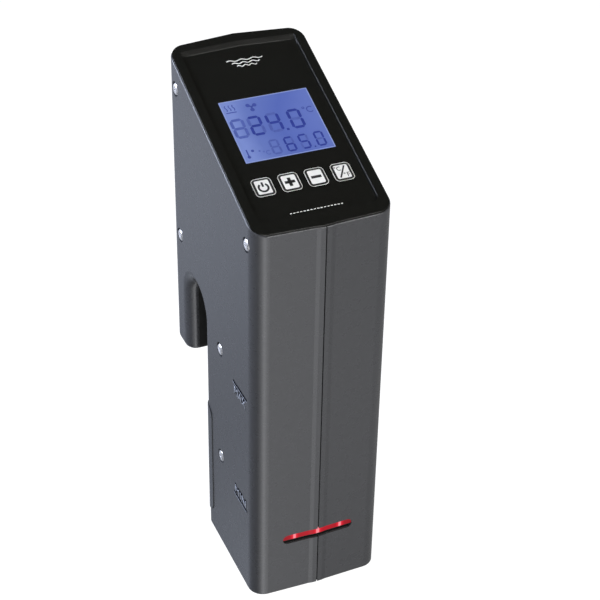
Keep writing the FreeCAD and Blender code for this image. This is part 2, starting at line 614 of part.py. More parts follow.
def pump():
    low, high = PUMP_Z
    save("pump_shaft", rod_z(0, SHAFT_Y, low + 6, MOTOR_TOP_Z + 12, SHAFT_R))

    ears = box((-PUMP_EAR_X - 4, PUMP_EAR_X + 4), (SHAFT_Y - 5, SHAFT_Y + 5), (low, low + 3))
    cup = joined([rod_z(0, SHAFT_Y, low, high, PUMP_R), ears])
    cavity = rod_z(0, SHAFT_Y, low - 1, high - 2.4, PUMP_R - 2)
    outlet = duct(0, 0.1)
    ear_holes = [rod_z(side * PUMP_EAR_X, SHAFT_Y, 0, 30, 1.6) for side in (-1, 1)]
    top_hole = rod_z(0, SHAFT_Y, high - 4, high + 1, 5.0)
    nozzle_way = box((-OUTLET_HALF_W, OUTLET_HALF_W), (-34.5, -29.0), OUTLET_Z)
    save("pump_housing", without(cup, [cavity, outlet, nozzle_way, top_hole] + ear_holes))

    bushing = rod_z(0, SHAFT_Y, high - 2.4, high + 2, 5.0)
    save("shaft_bushing", bushing.cut(rod_z(0, SHAFT_Y, 30, 50, SHAFT_R + RUNNING_GAP)))

    plate = joined([rod_z(0, SHAFT_Y, low - 2, low, PUMP_R),
                    box((-PUMP_EAR_X - 4, PUMP_EAR_X + 4), (SHAFT_Y - 5, SHAFT_Y + 5), (low - 2, low))])
    save("pump_cover", without(plate, [rod_z(0, SHAFT_Y, 0, 30, 7.0)] + ear_holes))

    standoffs, screws = [], []
    for side in (-1, 1):
        x = side * PUMP_EAR_X
        post = rod_z(x, SHAFT_Y, 3, low - 2, 3.4)
        blind = [rod_z(x, SHAFT_Y, 2, 9.0, SCREW_R), rod_z(x, SHAFT_Y, 10.5, 30, SCREW_R)]
        standoffs.append(without(post, blind))
        head = rod_z(x, SHAFT_Y, low + 3, low + 4.8, 2.75)
        screws.append(joined([rod_z(x, SHAFT_Y, 11, low + 3, SCREW_R), head]))
    save("pump_standoffs", group(standoffs))
    save("pump_screws", group(screws))

    z0 = low + 6
    disc = joined([rod_z(0, SHAFT_Y, z0, z0 + 1.6, 15.0), rod_z(0, SHAFT_Y, z0 - 2, z0 + 10, 5.0)])
    vanes = []
    for k in range(6):
        vane = box((4.0, 14.6), (-0.7, 0.7), (z0 + 1, z0 + 9))
        vane.rotate(Vector(4, 0, 0), Z_AXIS, -18)
        vane.rotate(Vector(0, 0, 0), Z_AXIS, 60 * k)
        vane.translate(Vector(0, SHAFT_Y, 0))
        vanes.append(vane)
    save("impeller", joined([disc] + vanes).cut(rod_z(0, SHAFT_Y, z0, 60, SHAFT_R)))


# ---- wet side fittings ----------------------------------------------------------------------
def bend(centre, r, start, sweep, axis):
    """Part of a torus: a bend of the heater's tube in the plane normal to the axis."""
    ring = Part.makeTorus(r, HEATER_R)
    half = Part.makeBox(4 * r, 2 * r, 4 * r, Vector(-2 * r, 0, -2 * r))
    piece = ring.common(half)
    piece.Placement = Placement(centre, Rotation(Vector(*start), Vector(*sweep), Vector(*axis), "XYZ"))
    return piece


def heater():
    front, back = HEATER_LEGS_Y
    r_low, middle = (back - front) / 2, (front + back) / 2
    pieces = []
    for side in (-1, 1):
        x = side * HEATER_X
        pieces.append(rod_z(x, front, HEATER_BOTTOM_Z, BULKHEAD_Z[1] + 4, HEATER_R))
        pieces.append(rod_z(x, back, HEATER_BOTTOM_Z, HEATER_BEND_Z, HEATER_R))
        pieces.append(bend(Vector(x, middle, HEATER_BOTTOM_Z), r_low, (0, 1, 0), (0, 0, -1), (-1, 0, 0)))
    pieces.append(bend(Vector(0, back, HEATER_BEND_Z), HEATER_X, (1, 0, 0), (0, 0, 1), (0, -1, 0)))
    save("heating_element", joined(pieces))
    tags = []
    for side in (-1, 1):
        x = side * HEATER_X
        tag = box((x - 0.4, x + 0.4), (front - 3, front + 3), (BULKHEAD_Z[1] + 6, BULKHEAD_Z[1] + 15))
        tags.append(joined([rod_z(x, front, BULKHEAD_Z[1] + 4, BULKHEAD_Z[1] + 7, 2.2), tag]))
    save("heater_terminals", group(tags))


def sensors():
    x, y = PROBE
    tip = Part.makeSphere(STEM_R, Vector(x, y, 24))
    save("temperature_probe", joined([rod_z(x, y, 24, BULKHEAD_Z[1] + 3, STEM_R), tip]))
    x, y = FLOAT_STEM
    save("float_stem", rod_z(x, y, 42, BULKHEAD_Z[1] + 3, STEM_R))
    clips = [rod_z(x, y, low, low + 1.2, 5.0).cut(rod_z(x, y, 0, 100, STEM_R))
             for low in (FLOAT_Z[0] - 1.5, FLOAT_Z[1] + 12.3)]
    save("float_clips", group(clips))
    ball = rod_z(x, y, FLOAT_Z[0], FLOAT_Z[1], FLOAT_R)
    ball = ball.makeFillet(2.0, [e for e in ball.Edges if len(e.Vertexes) == 1])
    save("level_float", ball.cut(rod_z(x, y, 0, 100, STEM_R + 2 * RUNNING_GAP)))


# ---- power electronics ------------------------------------------------------------------------
def power_parts():
    low, high = POWER_BOARD_Z
    pillars = [(x, y) for x in (-32, 32) for y in (-26, 30)]
    board = box((-36, 36), (-30, 56), POWER_BOARD_Z)
    save("power_board", without(board, [rod_z(x, y, 200, 240, 1.6) for x, y in pillars]))
    posts = [joined([rod_z(x, y, BULKHEAD_Z[1], low, 3.0), rod_z(x, y, low, high + 1.2, SCREW_R)])
             for x, y in pillars]
    save("board_pillars", group(posts))

    frame = box((5, 29), (8, 48), (high, high + 24)).cut(box((0, 40), (14, 42), (high + 6, high + 18)))
    winding = rounded_box((3, 31), (16, 40), (high + 6, high + 18), 3)
    save("transformer", joined([frame, winding]))
    cans = []
    for x in (-24, -9, 6):
        can = rod_z(x, -17, high, high + 20, 6.0)
        cans.append(can.makeFillet(0.8, [e for e in can.Edges if len(e.Vertexes) == 1]))
    save("capacitors", group(cans))

    fins = [box((x, x + 1.4), (36, 54), (high, high + 34)) for x in range(-34, -13, 4)]
    save("heat_sink", joined(fins + [box((-34, -11), (36, 38.5), (high, high + 34)),
                                     box((-14, -11), (36, 54), (high, high + 34))]))
    save("heater_triac", box((-10.9, -6.4), (40, 50), (high, high + 18)))

    w, h = INLET_FLANGE[0] / 2, INLET_FLANGE[1] / 2
    bw, bh = INLET_BODY[0] / 2 - 0.1, INLET_BODY[1] / 2 - 0.1
    sw, sh = INLET_SOCKET[0] / 2, INLET_SOCKET[1] / 2
    y0 = INLET_FLOOR_Y
    flange = rounded_box((-w, w), (y0, y0 + 2.2), (INLET_Z - h, INLET_Z + h), 2.7, Y_AXIS)
    shell = box((-bw, bw), (y0 - 20, y0 + 1), (INLET_Z - bh, INLET_Z + bh))
    z0, z1 = INLET_Z - sh, INLET_Z + sh
    outline = [(-sw, 0, z0), (sw, 0, z0), (sw, 0, z1 - 4),
               (sw - 4, 0, z1), (4 - sw, 0, z1), (-sw, 0, z1 - 4)]
    socket = extruded(outline, (0, 40, 0))
    socket.translate(Vector(0, y0 - 16, 0))
    pins = []
    for x, z in ((-7, INLET_Z - 2), (7, INLET_Z - 2), (0, INLET_Z + 2)):
        pins.append(box((x - 1, x + 1), (y0 - 26, y0 - 4), (z - 2, z + 2)))
    save("mains_inlet", without(joined([flange, shell]), [socket] + pins))
    save("inlet_pins", group(pins))


# ---- clamp ---------------------------------------------------------------------------------------
def clamp():
    block = rounded_box((-10, 10), (85, 94.2), (CLAMP_Z - 10, CLAMP_Z + 10), 2, Y_AXIS)
    save("clamp_nut", block.cut(rod_y(0, CLAMP_Z, 80, 100, SPINDLE_R)))

    foot_y = PAD_Y[0] + 1.2
    save("clamp_spindle", joined([rod_y(0, CLAMP_Z, foot_y, KNOB_Y[0] + 9, SPINDLE_R - SPINDLE_GAP),
                                  rod_y(0, CLAMP_Z, foot_y, foot_y + 1.4, FOOT_R)]))
    block = rounded_box((-14, 14), PAD_Y, (CLAMP_Z - 12, CLAMP_Z + 12), 3, Y_AXIS)
    block = without(block, [rod_y(0, CLAMP_Z, foot_y - 0.1, foot_y + 1.5, FOOT_R + 0.1),
                            rod_y(0, CLAMP_Z, foot_y, PAD_Y[1] + 1, SPINDLE_R)])
    facing = rounded_box((-14, 14), (PAD_Y[0] - FACING, PAD_Y[0]), (CLAMP_Z - 12, CLAMP_Z + 12), 3, Y_AXIS)
    save("clamp_pad", block)
    save("pad_facing", facing)

    knob = rod_y(0, CLAMP_Z, KNOB_Y[0], KNOB_Y[1], KNOB_R)
    scallops = []
    for k in range(KNOB_LOBES):
        a = 2 * math.pi * (k + 0.5) / KNOB_LOBES
        x, z = (KNOB_R + 3.2) * math.cos(a), CLAMP_Z + (KNOB_R + 3.2) * math.sin(a)
        scallops.append(rod_y(x, z, KNOB_Y[0] - 1, KNOB_Y[1] + 1, 5.0))
    bore = rod_y(0, CLAMP_Z, KNOB_Y[0] - 1, KNOB_Y[0] + 9, SPINDLE_R - SPINDLE_GAP)
    dish = Part.makeSphere(60, Vector(0, KNOB_Y[1] + 58.8, CLAMP_Z))
    save("clamp_knob", without(knob, scallops + [bore, dish]))


# ---- the whole object ---------------------------------------------------------------------------
def main():
    os.makedirs("parts", exist_ok=True)
    outer = top_rounded(body(0).cut(slab(0, FAR)))
    left, right = casing_halves(outer)
    save("left_shell", left)
    save("right_shell", right)
    seal = body(0.9).cut(body(WALL - 0.2)).cut(slab(BEZEL_BOTTOM, FAR))
    seal = seal.common(box((-SEAM / 2, SEAM / 2), (-FAR, FAR), (0.5, FAR)))
    seal = without(seal, [box((-5, 5), (0, LEG_FRONT_Y + 5), (-1, 180)),
                          box((-5, 5), (-60, 0), (SLOT_Z[0] - 0.5, SLOT_Z[1] + 0.5)),
                          box((-5, 5), (80, 110), (INLET_Z - 18, INLET_Z + 18)),
                          box((-5, 5), (80, 110), (CLAMP_Z - 13, CLAMP_Z + 13))])
    save("case_gasket", seal)
    save("casing_screws", group(casing_screw(y, z) for y, z in CASE_SCREWS))
    save("rear_cover", rear_cover())
    save("hook_liner", hook_liner(outer))
    save("base_plate", base_plate())
    save("base_screws", group(base_screw(x, y) for x, y in base_screw_places()))
    control_panel()
    front_slot()
    bulkhead()
    motor()
    fan()
    pump()
    heater()
    sensors()
    power_parts()
    clamp()


main()
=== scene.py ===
"""Sous vide circulator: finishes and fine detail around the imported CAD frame."""
import json
import math

import bpy
from mathutils import Matrix, Vector


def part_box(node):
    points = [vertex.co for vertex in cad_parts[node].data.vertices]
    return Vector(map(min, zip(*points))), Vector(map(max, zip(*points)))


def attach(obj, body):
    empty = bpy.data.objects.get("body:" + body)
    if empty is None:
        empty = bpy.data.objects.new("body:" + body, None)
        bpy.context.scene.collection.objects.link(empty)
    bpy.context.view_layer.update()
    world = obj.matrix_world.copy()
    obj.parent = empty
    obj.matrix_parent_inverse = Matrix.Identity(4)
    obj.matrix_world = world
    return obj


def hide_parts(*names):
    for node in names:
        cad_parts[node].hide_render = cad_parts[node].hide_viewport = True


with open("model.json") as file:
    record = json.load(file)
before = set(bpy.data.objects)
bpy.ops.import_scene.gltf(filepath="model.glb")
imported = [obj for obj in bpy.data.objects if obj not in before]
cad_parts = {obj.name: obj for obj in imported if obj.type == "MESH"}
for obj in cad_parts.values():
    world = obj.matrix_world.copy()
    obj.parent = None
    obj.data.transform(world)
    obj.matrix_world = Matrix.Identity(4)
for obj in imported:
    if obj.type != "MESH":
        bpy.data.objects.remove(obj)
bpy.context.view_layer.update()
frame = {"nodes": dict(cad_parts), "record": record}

MM = 0.001
EDGE_SHEEN = 0.45 * MM      # radius that the shading gives to the panel's sharp edges

# ---- the slanted panel: x across, s up the slope, n out of it ------------------------
PANEL_TILT = math.radians(20.38)
DISPLAY_FRONT_S = 51.7 * MM
DISPLAY_TOP_N = -0.55 * MM
DISPLAY_BOTTOM_N = -1.1 * MM
DISPLAY_HEIGHT = 46.1 * MM
OVERLAY_N = -0.6 * MM
KEY_TOP_N = -0.45 * MM
KEY_S = 33.5 * MM
KEY_PITCH = 15.6 * MM
KEY_NAMES = ("power", "plus", "minus", "units")
KEY_FACE = (8.2 * MM, 9.5 * MM, 0.9 * MM)        # width, height and corner radius
KEY_OUTLINE = (11.3 * MM, 12.4 * MM, 2.4 * MM)
KEY_OUTLINE_LINE = 0.27 * MM
WAVES_S = 127.2 * MM    # the rearmost of the three waves
WAVE_STEP = 2.3 * MM
WAVE_HEIGHT = 0.55 * MM
WAVE_LINE = 0.55 * MM
RULE_S = 12.4 * MM      # the broken rule in front of the keys
RULE_DASH = (1.2 * MM, 0.5 * MM)
PRINT = 0.03 * MM       # thickness of printed marks
LAMP_PITCH = 15 * MM    # between the lamps behind the red bar

# ---- display -------------------------------------------------------------------------
BIG_DIGITS = dict(width=8.3 * MM, height=14.6 * MM, line=1.8 * MM, s=69.5 * MM)
BIG_CENTRES = (-21.3 * MM, -11.3 * MM, -0.5 * MM, 12.5 * MM)
BIG_POINT_X = 5.4 * MM
SMALL_DIGITS = dict(width=5.8 * MM, height=11.0 * MM, line=1.25 * MM, s=54.0 * MM)
SMALL_CENTRES = (-6.4 * MM, 2.4 * MM, 11.0 * MM, 20.4 * MM)
SMALL_POINT_X = 15.7 * MM
DIGIT_SEGMENTS = {"0": "abcdef", "2": "abged", "4": "fgbc", "5": "afgcd", "6": "afgedc"}
THERMOMETER = (-23.3 * MM, 54.6 * MM, 6.4 * MM)     # x, s and size, as in those that follow
HEAT_MARK = (-21.6 * MM, 89.2 * MM, 5.6 * MM)
FAN_MARK = (-9.0 * MM, 91.0 * MM, 7.6 * MM)
BIG_DEGREES = (19.4 * MM, 79.2 * MM, 5.0 * MM)
SMALL_DEGREES = (-14.0 * MM, 54.8 * MM, 3.4 * MM)
LIT_DOT = (-20.0 * MM, 59.6 * MM, 0.9 * MM)
UNLIT_DOT = (-16.2 * MM, 58.6 * MM, 0.6 * MM)
# width of the painted highlight line round the display's edge
RIM_HIGHLIGHT_LINE = 0.5 * MM

# ---- level marks on the left side ----------------------------------------------------
LEVEL_MARK_Y = -19.2 * MM
LEVEL_MARK_SIZE = (18.0 * MM, 5.4 * MM)
LEVEL_MARK_RISE = 0.3 * MM
LEVEL_MARK_PAINTED_SHADE = 0.5 * MM  # how far the painted shade outline reaches past the painted highlight strokes
LEVEL_MARK_THIN = -0.1 * MM  # the painted highlight strokes against the font's
LEVEL_MARK_ROUND = 0.12 * MM
LEVEL_LINE = (21.6 * MM, 1.5 * MM)
LEVEL_HIGHLIGHT_EDGE = (0.4 * MM, 0.25 * MM)   # width and rise of the painted highlight strip under a line
LEVEL_LINE_GAP = 4.4 * MM    # from the middle of a word to its line
LEVEL_MARKS = (("MAX", 144.5 * MM, -1), ("MIN", 60.5 * MM, 1))   # word, its line, above or below it

# ---- clamp spindle's thread ----------------------------------------------------------
THREAD_PITCH = 2.0 * MM
THREAD_STARTS = 2
THREAD_DEPTH = 0.7 * MM
SPINDLE_R = 3.94 * MM
SPINDLE_FOOT = 1.4 * MM     # thickness of the foot that turns in the pad
THREAD_RUN_IN = 3 * MM      # over which the thread gets its depth, behind the foot
THREAD_RUN_OUT = 4 * MM     # and loses it, before the knob

# ---- camera --------------------------------------------------------------------------
CAMERA_AT = (-0.3063, -0.7108, 0.7090)
CAMERA_TURN = math.radians(-23.554)
CAMERA_DIP = math.radians(34.097)
CAMERA_ROLL = math.radians(1.073)
CAMERA_LENS = 96.8
CAMERA_SENSOR = 36.0
CAMERA_NEAR = 0.05

# ---- studio --------------------------------------------------------------------------
FLOOR_ALBEDO = 0.16
FLOOR_GLOW = 0.98
FLOOR_REACH = 6.0
BACKDROP_GLOW = 1.05
LIGHT_AIM = (0.0, 0.02, 0.2)
SOFT_BOXES = (
    ("rear_left_box", (-0.46, 0.25, 0.58), (0.3, 0.4), 7.0, (0.77, 0.83, 1.0)),
    ("front_right_box", (0.30, -0.60, 0.86), (0.4, 0.45), 6.0, (1.0, 0.985, 0.96)),
)
# what shines up from the table: degrees round from the front, brightness, brightness in its
# shaded ring, coolness
TABLE_STRENGTH = 4.0
TABLE_GLOW = (
    (-180, 0.52, 0.19, 0.6), (-140, 0.48, 0.17, 0.6), (-112, 0.10, 0.06, 0.6), (-62, 0.04, 0.04, 0.5),
    (-34, 1.2, 1.2, 0), (-18, 2.9, 2.7, 0), (-2, 1.6, 1.6, 0), (21, 1.05, 1.0, 0), (25, 0.2, 0.95, 0),
    (60, 0.16, 0.75, 0), (110, 0.3, 0.3, 0), (150, 0.45, 0.3, 0), (180, 0.52, 0.19, 0.6),
)
TABLE_DIPS = (-0.7, -0.5)    # sines of the angles below the horizon between which the ring lies
TABLE_RING = ((0.0, 1.0), (0.14, 0.9), (0.3, 0.0), (0.9, 1.0))
COOL = (0.66, 0.77, 1.0)
ROOM_GLOW = ((0.0, 0.35), (0.35, 0.14), (0.8, 0.04), (1.0, 0.03))


# ---- finishes ------------------------------------------------------------------------
def srgb(r, g, b):
    """Linear colour of an 8-bit screen colour."""
    def linear(value):
        c = value / 255
        return c / 12.92 if c <= 0.04045 else ((c + 0.055) / 1.055) ** 2.4
    return (linear(r), linear(g), linear(b), 1.0)


def grey(level):
    return (level, level, level, 1.0)


def add_node(tree, kind, links=(), **settings):
    """A shader node; each of its inputs is linked from a socket or given a value."""
    new = tree.nodes.new("ShaderNode" + kind)
    for key, value in settings.items():
        setattr(new, key, value)
    for socket, source in dict(links).items():
        if isinstance(source, bpy.types.NodeSocket):
            tree.links.new(source, new.inputs[socket])
        else:
            new.inputs[socket].default_value = source
    return new


def add_ramp(tree, source, stops):
    """The colour at the source's value on a ramp of (position, colour) stops."""
    new = add_node(tree, "ValToRGB", {"Fac": source})
    ends = new.color_ramp.elements
    while len(ends) < len(stops):
        ends.new(0.5)
    for end, (position, colour) in zip(ends, stops):
        end.position, end.color = position, colour
    return new.outputs["Color"]


class Finish:
    """A Principled material, with short calls for the textures that feed it."""

    def __init__(self, name, **sockets):
        self.material = bpy.data.materials.new(name)
        self.material.use_nodes = True
        self.tree = self.material.node_tree
        self.shader = self.tree.nodes["Principled BSDF"]
        for socket, value in sockets.items():
            self.shader.inputs[socket.replace("_", " ")].default_value = value
        self.where = self.tree.nodes.new("ShaderNodeTexCoord").outputs["Object"]

    def node(self, kind, links=(), **settings):
        return add_node(self.tree, kind, links, **settings)

    def feed(self, socket, source):
        self.tree.links.new(source, self.shader.inputs[socket])

    def stretched(self, scale):
        return self.node("Mapping", {"Vector": self.where, "Scale": scale}).outputs["Vector"]

    def noise(self, scale, detail=3.0, where=None):
        """A noise texture's value, in the object's own space unless told otherwise."""
        links = {"Vector": where or self.where, "Scale": scale, "Detail": detail}
        return self.node("TexNoise", links).outputs["Fac"]

    def ramp(self, source, stops):
        return add_ramp(self.tree, source, stops)

    def spread(self, source, low, high):
        """The source's usual range, stretched to run from low to high."""
        links = {"Value": source, "From Min": 0.3, "From Max": 0.7, "To Min": low, "To Max": high}
        return self.node("MapRange", links).outputs["Result"]

    def maths(self, operation, *values):
        return self.node("Math", enumerate(values), operation=operation).outputs["Value"]

    def tinted(self, colour, change, scale):
        """The colour, mottled lighter and darker by a share of itself."""
        darker = tuple(c * (1 - change) for c in colour[:3]) + (1.0,)
        lighter = tuple(c * (1 + change) for c in colour[:3]) + (1.0,)
        return self.ramp(self.noise(scale), [(0.35, darker), (0.65, lighter)])

    def bumped(self, height, distance, strength=1.0, edge=0.0):
        """Small relief; an edge radius softens the piece's sharp edges in the shading."""
        links = {"Height": height, "Distance": distance, "Strength": strength}
        if edge:
            links["Normal"] = self.node("Bevel", {"Radius": edge}, samples=6).outputs["Normal"]
        self.feed("Normal", self.node("Bump", links).outputs["Normal"])


def plastic(name, colour, rough, grain, mottle=0.04, edge=0.0, **sockets):
    """Moulded plastic: fine spark-eroded grain, faint flow mottling, uneven sheen."""
    finish = Finish(name, **sockets)
    finish.feed("Base Color", finish.tinted(colour, mottle, 260))
    finish.feed("Roughness", finish.spread(finish.noise(140), rough - 0.02, rough + 0.02))
    fine, coarse = finish.noise(2600, 2), finish.noise(900, 2)
    finish.bumped(finish.maths("ADD", fine, finish.maths("MULTIPLY", coarse, 0.6)), grain, edge=edge)
    return finish


def brushed(name, colour, rough, along=(60, 60, 4000), **sockets):
    """Metal with fine lines, drawn out across the stretched axis."""
    finish = Finish(name, **{"Metallic": 1.0, **sockets})
    lines = finish.noise(1.0, 2, finish.stretched(along))
    finish.feed("Base Color", finish.tinted(colour, 0.05, 120))
    finish.feed("Roughness", finish.spread(lines, rough - 0.07, rough + 0.09))
    finish.bumped(lines, 0.00001, 0.4)
    return finish


def casing_finish(name, colour):
    """Satin anthracite: flake-filled plastic with a fine moulded grain."""
    return plastic(name, colour, 0.28, 0.00001, 0.02, Metallic=0.35)


def board_finish():
    """Green solder mask with the ghost of copper runs under it."""
    finish = Finish("board_green", Coat_Weight=0.4, Coat_Roughness=0.2)
    cells = finish.node("TexBrick", {"Vector": finish.where, "Scale": 160.0, "Mortar Size": 0.03,
                                     "Color1": srgb(22, 84, 44), "Color2": srgb(26, 92, 50),
                                     "Mortar": srgb(52, 122, 70)})
    finish.feed("Base Color", cells.outputs["Color"])
    finish.feed("Roughness", finish.spread(finish.noise(300), 0.32, 0.45))
    return finish


def display_finish():
    """Lit display: blue-violet glow, paler towards the left edge where its lamp sits."""
    finish = Finish("display_lit", Base_Color=srgb(40, 48, 96), Roughness=0.22,
                    Emission_Strength=1.0, Specular_IOR_Level=0.3)
    spans = finish.tree.nodes["Texture Coordinate"].outputs["Generated"]
    axes = finish.node("SeparateXYZ", {"Vector": spans}).outputs
    across, up = axes["X"], axes["Y"]
    drift = finish.maths("MULTIPLY", finish.maths("SUBTRACT", finish.noise(34, 3), 0.5), 0.35)
    bowed = finish.maths("ABSOLUTE", finish.maths("SUBTRACT", up, 0.45))
    edge = finish.maths("SUBTRACT", across, finish.maths("MULTIPLY", bowed, 0.25))
    blend = finish.maths("ADD", edge, drift)
    glow = finish.ramp(blend, [(0.0, srgb(114, 131, 180)), (0.18, srgb(92, 109, 161)),
                               (0.55, srgb(77, 94, 155)), (1.0, srgb(95, 111, 168))])
    finish.feed("Emission Color", glow)
    return finish


def segment_finish(name, colour):
    """Liquid crystal segment, a darker blue than the ground it sits on."""
    finish = Finish(name, Base_Color=srgb(20, 24, 60), Roughness=0.22, Emission_Strength=1.0,
                    Specular_IOR_Level=0.3)
    finish.feed("Emission Color", finish.tinted(colour, 0.08, 400))
    return finish


def glow_finish():
    """Red light bar with a narrow hot spot over each of its three lamps."""
    finish = Finish("light_bar_lit", Base_Color=srgb(60, 2, 6), Roughness=0.35, Emission_Strength=1.0,
                    Specular_IOR_Level=0.2)
    x = finish.node("SeparateXYZ", {"Vector": finish.where}).outputs["X"]
    wave = finish.maths("COSINE", finish.maths("MULTIPLY", x, 2 * math.pi / LAMP_PITCH))
    spot = finish.maths("POWER", finish.maths("MULTIPLY_ADD", wave, 0.5, 0.5), 9.0)
    end = finish.maths("MULTIPLY", finish.maths("ABSOLUTE", x), 1 / (40 * MM))
    level = finish.maths("SUBTRACT", spot, finish.maths("MULTIPLY", end, 0.25))
    level = finish.maths("ADD", level, 0.2)
    glow = finish.ramp(level, [(0.0, srgb(124, 3, 16)), (0.25, srgb(196, 9, 34)),
                               (0.75, srgb(226, 34, 56)), (1.0, srgb(255, 140, 150))])
    finish.feed("Emission Color", glow)
    return finish


FINISHES = {
    "casing_plastic": casing_finish("casing_plastic", srgb(80, 81, 84)),
    "cover_plastic": casing_finish("cover_plastic", srgb(82, 84, 88)),
    "black_gloss": plastic("panel_black", srgb(20, 20, 17), 0.24, 0.000004, 0.1, EDGE_SHEEN,
                           Specular_IOR_Level=0.4),
    "black_matte": plastic("black_matte", srgb(24, 25, 24), 0.55, 0.00002, 0.12),
    "display_plastic": display_finish(),
    "lcd_stack": plastic("lcd_cell", srgb(70, 80, 150), 0.12, 0.000001, Coat_Weight=0.5),
    "backlight": plastic("light_guide", srgb(200, 208, 235), 0.3, 0.000002),
    "key_white": plastic("key_rubber", srgb(22, 22, 19), 0.5, 0.00001, 0.1),
    "light_bar": glow_finish(),
    "black_rubber": plastic("black_rubber", srgb(26, 26, 27), 0.7, 0.00003, 0.1),
    "white_rubber": plastic("white_rubber", srgb(205, 200, 192), 0.6, 0.00002),
    "steel": brushed("steel", srgb(196, 194, 190), 0.28),
    "bright_steel": brushed("bright_steel", srgb(246, 246, 248), 0.3, (900, 900, 900), Metallic=0.8),
    "board_green": board_finish(),
    "white_plastic": plastic("white_plastic", srgb(222, 221, 214), 0.45, 0.00001),
    "brass": brushed("brass", srgb(206, 170, 96), 0.3),
    "aluminium": brushed("aluminium", srgb(205, 206, 210), 0.34),
    "iron": plastic("lacquered_iron", srgb(58, 56, 56), 0.5, 0.00003, 0.15, Metallic=0.7),
    "can_blue": plastic("can_sleeve", srgb(28, 44, 88), 0.3, 0.000004),
}
KEY_PRINT = plastic("key_print", srgb(228, 227, 222), 0.45, 0.000006, 0.02)
KEY_INK = plastic("key_ink", srgb(16, 16, 15), 0.5, 0.000006, 0.1)
LINE_PRINT = plastic("line_print", srgb(232, 232, 226), 0.5, 0.000006, 0.05)
MARK_PRINT = plastic("mark_print", srgb(226, 225, 218), 0.5, 0.000006, 0.05)
SEGMENT_ON = segment_finish("segment_on", srgb(48, 60, 134))
SEGMENT_OFF = segment_finish("segment_off", srgb(78, 93, 158))
SYMBOL_INK = segment_finish("symbol_ink", srgb(64, 77, 146))
# painted highlight: a pale glowing line round the display's edge, standing in for light caught by the
# window's edge
DISPLAY_RIM_HIGHLIGHT = segment_finish("display_rim_painted_highlight", srgb(140, 156, 206))
# painted shade: near-black laid over the level marks' outlines and line grooves, standing in for the
# shade in them
PAINTED_SHADE = plastic("painted_shade_mark", srgb(14, 16, 22), 0.9, 0.00001, 0.08, Specular_IOR_Level=0.0)
# painted highlight: a light grey on the level marks' raised strokes and line edges, standing in for the
# light they catch
PAINTED_HIGHLIGHT = plastic("painted_highlight_mark", srgb(142, 147, 158), 0.35, 0.00001, 0.06, Metallic=0.2)


def dress_frame():
    """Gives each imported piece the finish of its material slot."""
    for part in frame["record"]["subparts"]:
        node = frame["nodes"][part["node"]]
        node.data.materials.clear()
        node.data.materials.append(FINISHES[part["material_slot"]].material)


# ---- flat shapes, as lists of (x, y) outlines ----------------------------------------
def bar(x0, y0, x1, y1, width):
    """A straight stroke between two points."""
    run = Vector((x1 - x0, y1 - y0)).normalized() * width / 2
    side = Vector((-run.y, run.x))
    return [(x0 + side.x, y0 + side.y), (x0 - side.x, y0 - side.y),
            (x1 - side.x, y1 - side.y), (x1 + side.x, y1 + side.y)]


def stroke(points, width):
    return [bar(*a, *b, width) for a, b in zip(points, points[1:])]


def arc(cx, cy, r, start, sweep, width, steps=28):
    """A curved stroke, as short pieces that share their edges."""
    def at(radius, k):
        angle = math.radians(start + sweep * k / steps)
        return (cx + radius * math.cos(angle), cy + radius * math.sin(angle))
    inner, outer = r - width / 2, r + width / 2
    return [[at(inner, k), at(outer, k), at(outer, k + 1), at(inner, k + 1)] for k in range(steps)]


def disc(cx, cy, r, steps=24):
    turns = [2 * math.pi * k / steps for k in range(steps)]
    return [(cx + r * math.cos(a), cy + r * math.sin(a)) for a in turns]


def rounded(cx, cy, width, height, r, steps=8):
    """A rectangle with round corners."""
    points = []
    for quarter in range(4):
        x = cx + (width / 2 - r) * (1 if quarter in (0, 3) else -1)
        y = cy + (height / 2 - r) * (1 if quarter in (0, 1) else -1)
        for k in range(steps + 1):
            a = math.radians(90 * (quarter + k / steps))
            points.append((x + r * math.cos(a), y + r * math.sin(a)))
    return points


def rounded_ring(cx, cy, width, height, r, line):
    """A thin line round a rectangle with round corners."""
    outer = rounded(cx, cy, width + line, height + line, r + line / 2)
    inner = rounded(cx, cy, width - line, height - line, r - line / 2)
    count = len(outer)
    return [[outer[k], outer[(k + 1) % count], inner[(k + 1) % count], inner[k]] for k in range(count)]


def new_object(name, data):
    """An object in the scene."""
    new = bpy.data.objects.new(name, data)
    bpy.context.scene.collection.objects.link(new)
    return new


def new_mesh(name, vertices, faces):
    mesh = bpy.data.meshes.new(name)
    mesh.from_pydata(vertices, [], faces)
    return mesh


def strip(start, around):
    """Faces between the ring of vertices that begins at start and the ring after it."""
    return [(start + k, start + (k + 1) % around, start + around + (k + 1) % around, start + around + k)
            for k in range(around)]


def raised(name, outlines, place, lift, body, finish, thick=PRINT):
    """Outlines laid on a plane and given a little thickness."""
    vertices, faces = [], []
    for outline in outlines:
        area = sum(a[0] * b[1] - b[0] * a[1] for a, b in zip(outline, outline[1:] + outline[:1]))
        ring = outline if area > 0 else outline[::-1]
        base, count = len(vertices), len(ring)
        vertices += [(x, y, lift) for x, y in ring] + [(x, y, lift + thick) for x, y in ring]
        faces.append([base + count - 1 - k for k in range(count)])
        faces.append([base + count + k for k in range(count)])
        faces += strip(base, count)
    mesh = new_mesh(name, vertices, faces)
    mesh.transform(place)
    return shown(name, mesh, body, finish)


def shown(name, mesh, body, finish):
    """A visible piece that rides on a body."""
    piece = new_object(name, mesh)
    mesh.materials.append(finish.material)
    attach(piece, body)
    return piece


def panel_place():
    """Matrix from (x, s, n) to the frame, worked back from the display window's corner."""
    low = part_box("display_window")[0]
    cos, sin = math.cos(PANEL_TILT), math.sin(PANEL_TILT)
    y = low.y - DISPLAY_FRONT_S * cos + DISPLAY_TOP_N * sin
    z = low.z - DISPLAY_FRONT_S * sin - DISPLAY_BOTTOM_N * cos
    return Matrix.Translation((0, y, z)) @ Matrix.Rotation(PANEL_TILT, 4, "X")


